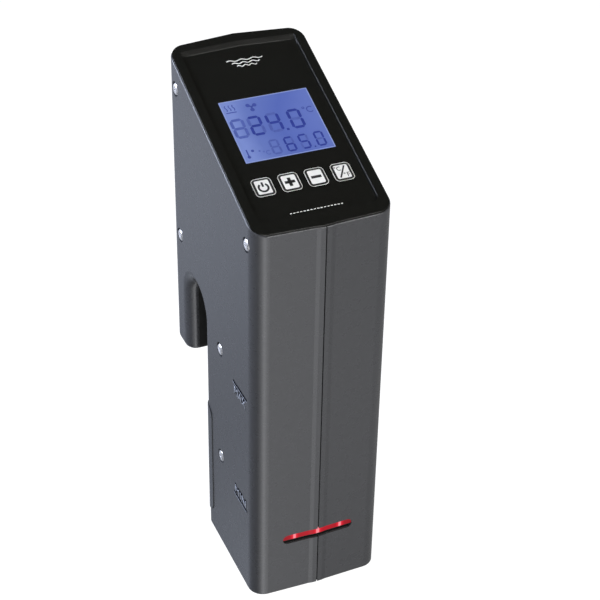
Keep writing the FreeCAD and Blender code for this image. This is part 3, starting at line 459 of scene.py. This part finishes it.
# ---- display -------------------------------------------------------------------------
def segment(letter, cx, s, width, height, line):
    """One segment of a seven-segment digit: a bar with pointed ends."""
    left, right = cx - width / 2 + line / 2, cx + width / 2 - line / 2
    low, middle, high = s + line / 2, s + height / 2, s + height - line / 2
    ends = {"a": (left, high, right, high), "b": (right, middle, right, high),
            "c": (right, low, right, middle), "d": (left, low, right, low),
            "e": (left, low, left, middle), "f": (left, middle, left, high),
            "g": (left, middle, right, middle)}
    x0, y0, x1, y1 = ends[letter]
    along = Vector((x1 - x0, y1 - y0)).normalized()
    side = Vector((-along.y, along.x)) * line / 2
    gap, taper = along * line * 0.06, along * line * 0.5
    a, b = Vector((x0, y0)) + gap, Vector((x1, y1)) - gap
    corners = (a, a + taper - side, b - taper - side, b, b - taper + side, a + taper + side)
    return [tuple(corner) for corner in corners]


def digits(text, centres, width, height, line, s):
    """Lit and unlit segments of a row of digits; a space is a digit with nothing lit."""
    lit, unlit = [], []
    for character, cx in zip(text, centres):
        on = DIGIT_SEGMENTS.get(character, "")
        for letter in "abcdefg":
            shape = segment(letter, cx, s, width, height, line)
            (lit if letter in on else unlit).append(shape)
    return lit, unlit


def thermometer(cx, s, size):
    """A bulb with a stem above it."""
    return [disc(cx, s + size * 0.16, size * 0.16), bar(cx, s + size * 0.2, cx, s + size, size * 0.13)]


def heat_mark(cx, s, size):
    """Three rising waves over a bar."""
    shapes = [bar(cx - size * 0.55, s, cx + size * 0.55, s, size * 0.12)]
    for column in (-0.4, 0, 0.4):
        points = [(cx + size * (column + 0.08 * math.sin(k * math.pi / 3)),
                   s + size * (0.22 + 0.13 * k)) for k in range(7)]
        shapes += stroke(points, size * 0.1)
    return shapes


def fan_mark(cx, s, size):
    """Three blades round a hub."""
    shapes = [disc(cx, s, size * 0.1)]
    for k in range(3):
        a = math.radians(120 * k + 25)
        tip = (cx + size * 0.3 * math.cos(a), s + size * 0.3 * math.sin(a))
        shapes += [disc(*tip, size * 0.17), bar(cx, s, *tip, size * 0.14)]
    return shapes


def degree_c(x, s, size):
    """The degree sign and an open C."""
    ring = arc(x, s + size * 0.85, size * 0.13, 0, 360, size * 0.1, 14)
    return ring + arc(x + size * 0.75, s + size * 0.5, size * 0.4, 50, 260, size * 0.14, 18)


def degree_f(x, s, size):
    """The degree sign and an F."""
    ring = arc(x, s + size * 0.85, size * 0.13, 0, 360, size * 0.1, 14)
    stem = x + size * 0.5
    return ring + [bar(stem, s, stem, s + size, size * 0.14),
                   bar(stem, s + size * 0.93, stem + size * 0.5, s + size * 0.93, size * 0.14),
                   bar(stem, s + size * 0.5, stem + size * 0.4, s + size * 0.5, size * 0.14)]


def display(place):
    """Two rows of digits and a few symbols, inked on the lit display, and a painted highlight line
    round its edge.
    """
    big_lit, big_unlit = digits(" 240", BIG_CENTRES, **BIG_DIGITS)
    small_lit, small_unlit = digits(" 650", SMALL_CENTRES, **SMALL_DIGITS)
    points = [bar(x - w, s + w, x + w, s + w, 2 * w)
              for x, s, w in ((BIG_POINT_X, BIG_DIGITS["s"], 0.75 * MM),
                              (SMALL_POINT_X, SMALL_DIGITS["s"], 0.5 * MM))]
    marks = thermometer(*THERMOMETER) + [disc(*LIT_DOT)] + heat_mark(*HEAT_MARK)
    marks += fan_mark(*FAN_MARK) + degree_c(*BIG_DEGREES)
    faint = degree_c(*SMALL_DEGREES) + [disc(*UNLIT_DOT)]
    for name, shapes, finish, thick in (
            ("display_digits", big_lit + small_lit + points, SEGMENT_ON, PRINT),
            ("display_symbols", marks, SYMBOL_INK, PRINT),
            ("display_unlit", big_unlit + small_unlit + faint, SEGMENT_OFF, PRINT / 2)):
        raised(name, shapes, place, DISPLAY_TOP_N, "casing", finish, thick)
    # a painted highlight: a pale line round the display's edge
    low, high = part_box("display_window")
    highlight_rim = rounded_ring((high.x + low.x) / 2, DISPLAY_FRONT_S + DISPLAY_HEIGHT / 2,
                       high.x - low.x - RIM_HIGHLIGHT_LINE, DISPLAY_HEIGHT - RIM_HIGHLIGHT_LINE, RIM_HIGHLIGHT_LINE, RIM_HIGHLIGHT_LINE)
    raised("display_rim_painted_highlight", highlight_rim, place, DISPLAY_TOP_N, "casing", DISPLAY_RIM_HIGHLIGHT)


# ---- keys ----------------------------------------------------------------------------
def key_symbol(name, x, s):
    """The shapes of a key's symbol: the on-off sign, plus, minus, or degrees C over F."""
    if name == "power":
        ring = arc(x, s - 0.4 * MM, 2.7 * MM, 125, 290, 1.2 * MM)
        return ring + [bar(x, s + 0.2 * MM, x, s + 3.4 * MM, 1.2 * MM)]
    if name == "plus":
        half = 3.0 * MM
        return [bar(x - half, s, x + half, s, 1.9 * MM), bar(x, s - half, x, s + half, 1.9 * MM)]
    if name == "minus":
        return [bar(x - 3.0 * MM, s, x + 3.0 * MM, s, 1.8 * MM)]
    slash = [bar(x - 2.4 * MM, s - 4.0 * MM, x + 2.4 * MM, s + 4.0 * MM, 0.9 * MM)]
    slash += degree_c(x - 3.5 * MM, s + 0.8 * MM, 3.1 * MM)
    return slash + degree_f(x + 0.7 * MM, s - 4.1 * MM, 3.1 * MM)


def keys(place):
    """A white face and a symbol that ride on each key, and the outlines printed round them."""
    outlines = []
    for index, name in enumerate(KEY_NAMES):
        x, body = KEY_PITCH * (index - 1.5), name + "_key"
        raised("key_face_" + name, [rounded(x, KEY_S, *KEY_FACE)],
               place, KEY_TOP_N, body, KEY_PRINT)
        raised("key_symbol_" + name, key_symbol(name, x, KEY_S),
               place, KEY_TOP_N + PRINT, body, KEY_INK)
        outlines += rounded_ring(x, KEY_S, *KEY_OUTLINE, KEY_OUTLINE_LINE)
    raised("key_outlines", outlines, place, OVERLAY_N, "casing", LINE_PRINT)


# ---- generic marks on the panel ------------------------------------------------------
def panel_marks(place):
    """Three waves behind the display, and a fine broken rule in front of the keys."""
    waves = []
    for row in range(3):
        length = (11 - 2.5 * row) * MM
        s = WAVES_S - WAVE_STEP * row
        points = [(length * (k / 24 - 0.5) * 2, s + WAVE_HEIGHT * math.sin(k * math.pi / 4))
                  for k in range(25)]
        waves += stroke(points, WAVE_LINE)
    raised("panel_waves", waves, place, OVERLAY_N, "casing", MARK_PRINT)
    long, line = RULE_DASH
    dashes = [bar(x * MM, RULE_S, x * MM + long, RULE_S, line) for x in range(-16, 16, 2)]
    raised("panel_rule", dashes, place, OVERLAY_N, "casing", LINE_PRINT)


# ---- level marks ---------------------------------------------------------------------
def lettering(word, size, outline, rise, rounding):
    """A word as a solid mesh, fitted to a size; the outline makes its strokes bolder or thinner."""
    curve = bpy.data.curves.new("lettering", "FONT")
    curve.body = word
    curve.size = size[1]
    curve.offset = outline
    curve.extrude, curve.bevel_depth, curve.bevel_resolution = rise / 2, rounding, 2
    letters = new_object("lettering", curve)
    bpy.context.view_layer.update()
    mesh = bpy.data.meshes.new_from_object(letters.evaluated_get(bpy.context.evaluated_depsgraph_get()))
    bpy.data.objects.remove(letters)
    low = [min(v.co[k] for v in mesh.vertices) for k in range(3)]
    high = [max(v.co[k] for v in mesh.vertices) for k in range(3)]
    grow = [(size[k] + 2 * outline) / (high[k] - low[k]) for k in range(2)]
    centre = Matrix.Translation([-(a + b) / 2 for a, b in zip(low, high)])
    mesh.transform(Matrix.Diagonal((*grow, 1, 1)) @ centre)
    return mesh


def level_marks():
    """Generic fill-level words: painted highlight strokes over painted shade outlines, and a painted
    shade line with a painted highlight edge under it.
    """
    side_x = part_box("left_shell")[0].x
    for word, line_z, way in LEVEL_MARKS:
        name = "level_mark_" + word.lower()
        z = line_z + way * LEVEL_LINE_GAP
        place = Matrix(((0, 0, -1, side_x), (-1, 0, 0, LEVEL_MARK_Y), (0, 1, 0, z), (0, 0, 0, 1)))
        # painted shade: a flat near-black outline round each word's strokes
        painted_shade_letters = lettering(word, LEVEL_MARK_SIZE, LEVEL_MARK_PAINTED_SHADE, 2 * PRINT, 0.0)
        painted_shade_letters.transform(place)
        shown(name + "_outline", painted_shade_letters, "casing", PAINTED_SHADE)
        # painted highlight: the raised strokes take a light grey, set off from the painted shade
        # outline
        lit = lettering(word, LEVEL_MARK_SIZE, LEVEL_MARK_THIN, LEVEL_MARK_RISE, LEVEL_MARK_ROUND)
        lit.transform(place @ Matrix.Translation((0, -LEVEL_MARK_PAINTED_SHADE, 0)))
        shown(name, lit, "casing", PAINTED_HIGHLIGHT)
        half, line_s = LEVEL_LINE[0] / 2, -way * LEVEL_LINE_GAP
        # painted shade: a flat near-black strip laid over the line's groove
        painted_shade_strip = [bar(-half, line_s, half, line_s, LEVEL_LINE[1])]
        raised(name + "_painted_shade_groove", painted_shade_strip, place, 0.0, "casing", PAINTED_SHADE, 2 * PRINT)
        # painted highlight: a low light grey strip along the groove's lower edge
        highlight_s = line_s - (LEVEL_LINE[1] + LEVEL_HIGHLIGHT_EDGE[0]) / 2
        edge = [bar(-half, highlight_s, half, highlight_s, LEVEL_HIGHLIGHT_EDGE[0])]
        raised(name + "_painted_highlight_edge", edge, place, 0.0, "casing", PAINTED_HIGHLIGHT, LEVEL_HIGHLIGHT_EDGE[1])


# ---- clamp spindle -------------------------------------------------------------------
def threaded_spindle():
    """The clamp's spindle with a real two-start thread between its foot and the knob."""
    low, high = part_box("clamp_spindle")
    knob_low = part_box("clamp_knob")[0]
    middle_z = (low.z + high.z) / 2
    foot_r = (high.z - low.z) / 2
    around, step = 36, THREAD_PITCH / 8
    start, end = low.y + SPINDLE_FOOT, high.y
    rows = int((end - start) / step)
    vertices, faces = [], []

    def ring(y, radius_at):
        for k in range(around):
            a = 2 * math.pi * k / around
            radius = radius_at(a, y)
            vertices.append((radius * math.cos(a), y, middle_z + radius * math.sin(a)))

    def crest(a, y):
        """Radius of the thread: flat crests and roots, with sloping flanks between them."""
        turn = (y / THREAD_PITCH - THREAD_STARTS * a / (2 * math.pi)) % 1.0
        depth = THREAD_DEPTH * min(1.0, max(0.0, abs(turn - 0.5) * 4 - 0.5))
        run_in, run_out = (y - start) / THREAD_RUN_IN, (knob_low.y - y) / THREAD_RUN_OUT
        return SPINDLE_R - depth * max(0.0, min(1.0, run_in, run_out))

    for y in (low.y, start):
        ring(y, lambda a, y: foot_r)
    for row in range(rows + 1):
        ring(start + (end - start) * row / rows, crest)
    last = len(vertices) - around
    for first in range(0, last, around):
        faces += strip(first, around)
    faces.append(list(range(around))[::-1])
    faces.append(list(range(last, last + around)))
    mesh = new_mesh("threaded_spindle", vertices, faces)
    piece = shown("threaded_spindle", mesh, "clamp_screw", FINISHES["steel"])
    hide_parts("clamp_spindle")


# ---- floor, light and camera ---------------------------------------------------------
def ring_mesh(name, rings, around=96):
    """A surface of revolution about the upright axis through (radius, height) rings."""
    vertices, faces = [], []
    for radius, height in rings:
        for k in range(around):
            a = 2 * math.pi * k / around
            vertices.append((radius * math.cos(a), radius * math.sin(a), height))
    for row in range(len(rings) - 1):
        faces += strip(row * around, around)
    return new_mesh(name, vertices, faces)


def set_piece(name, mesh, finish):
    """A piece of the studio, which is no part of the object."""
    mesh.materials.append(finish.material)
    piece = new_object(name, mesh)
    return piece


def floor():
    """A pale sheet, and a far wall that only the camera sees."""
    sheet = plastic("floor_paper", grey(FLOOR_ALBEDO), 0.9, 0.00001, 0.004,
                    Emission_Strength=FLOOR_GLOW, Emission_Color=grey(1.0), Specular_IOR_Level=0.0)
    ground = set_piece("floor", ring_mesh("floor", ((0.0, 0.0), (FLOOR_REACH, 0.0))), sheet)
    ground.visible_glossy = False
    paper = plastic("backdrop_paper", grey(0.0), 0.9, 0.00001, 0.004,
                    Emission_Strength=BACKDROP_GLOW, Emission_Color=grey(1.0), Specular_IOR_Level=0.0)
    wall = ring_mesh("backdrop", ((FLOOR_REACH, 0.0), (FLOOR_REACH, FLOOR_REACH / 2)))
    backdrop = set_piece("backdrop", wall, paper)
    backdrop.visible_diffuse = backdrop.visible_glossy = backdrop.visible_shadow = False
    backdrop.visible_transmission = False


def area_light(name, at, size, watts, colour):
    data = bpy.data.lights.new(name, "AREA")
    data.shape, data.size, data.size_y = "RECTANGLE", size[0], size[1]
    data.energy, data.color = watts, colour
    lamp = new_object(name, data)
    lamp.location = at
    lamp.rotation_euler = (Vector(LIGHT_AIM) - Vector(at)).to_track_quat("-Z", "Y").to_euler()


def room():
    """A dim room over a table whose brightness changes round the object."""
    world = bpy.data.worlds.new("studio")
    bpy.context.scene.world = world
    world.use_nodes = True
    tree = world.node_tree

    def node(kind, links=(), **settings):
        return add_node(tree, kind, links, **settings)

    def mix(factor, first, second):
        new = node("Mix", data_type="RGBA")
        for index, source in ((0, factor), (6, first), (7, second)):
            tree.links.new(source, new.inputs[index])
        return new.outputs[2]

    axes = node("SeparateXYZ", {"Vector": node("TexCoord").outputs["Generated"]}).outputs
    ahead = node("Math", {0: axes["Y"], 1: -1.0}, operation="MULTIPLY").outputs[0]
    angle = node("Math", {0: axes["X"], 1: ahead}, operation="ARCTAN2").outputs[0]
    turn = node("Math", {0: angle, 1: 1 / (2 * math.pi), 2: 0.5}, operation="MULTIPLY_ADD").outputs[0]

    def table_ramp(column):
        stops = []
        for stop in TABLE_GLOW:
            level = stop[column] / TABLE_STRENGTH
            colour = [level * (1 - stop[3] * (1 - c)) for c in COOL]
            stops.append((0.5 + stop[0] / 360, (*colour, 1.0)))
        return add_ramp(tree, turn, stops)

    plain, shaded = table_ramp(1), table_ramp(2)
    dip = node("MapRange", {"Value": axes["Z"], "From Min": TABLE_DIPS[0], "From Max": TABLE_DIPS[1]})
    ring = add_ramp(tree, dip.outputs["Result"], [(place, grey(share)) for place, share in TABLE_RING])
    table = node("VectorMath", {0: mix(ring, shaded, plain), "Scale": TABLE_STRENGTH},
                 operation="SCALE").outputs[0]
    above = add_ramp(tree, axes["Z"], [(height, grey(level)) for height, level in ROOM_GLOW])
    overhead = node("Math", {0: axes["Z"], 1: 0.0}, operation="GREATER_THAN").outputs[0]
    tree.links.new(mix(overhead, table, above), tree.nodes["Background"].inputs["Color"])


def soft_boxes():
    """A cool light behind on the left and a warmer one in front on the right."""
    for box in SOFT_BOXES:
        area_light(*box)


def camera():
    """The photograph's viewpoint, with colours shown as they are lit."""
    data = bpy.data.cameras.new("camera")
    data.lens, data.sensor_width = CAMERA_LENS, CAMERA_SENSOR
    data.clip_start = CAMERA_NEAR
    eye = new_object("camera", data)
    turn = Matrix.Rotation(CAMERA_TURN, 4, "Z") @ Matrix.Rotation(math.pi / 2 - CAMERA_DIP, 4, "X")
    eye.matrix_world = Matrix.Translation(CAMERA_AT) @ turn @ Matrix.Rotation(CAMERA_ROLL, 4, "Z")
    bpy.context.scene.camera = eye
    bpy.context.scene.view_settings.view_transform = "Standard"


dress_frame()
panel = panel_place()
display(panel)
keys(panel)
panel_marks(panel)
level_marks()
threaded_spindle()
floor()
room()
soft_boxes()
camera()
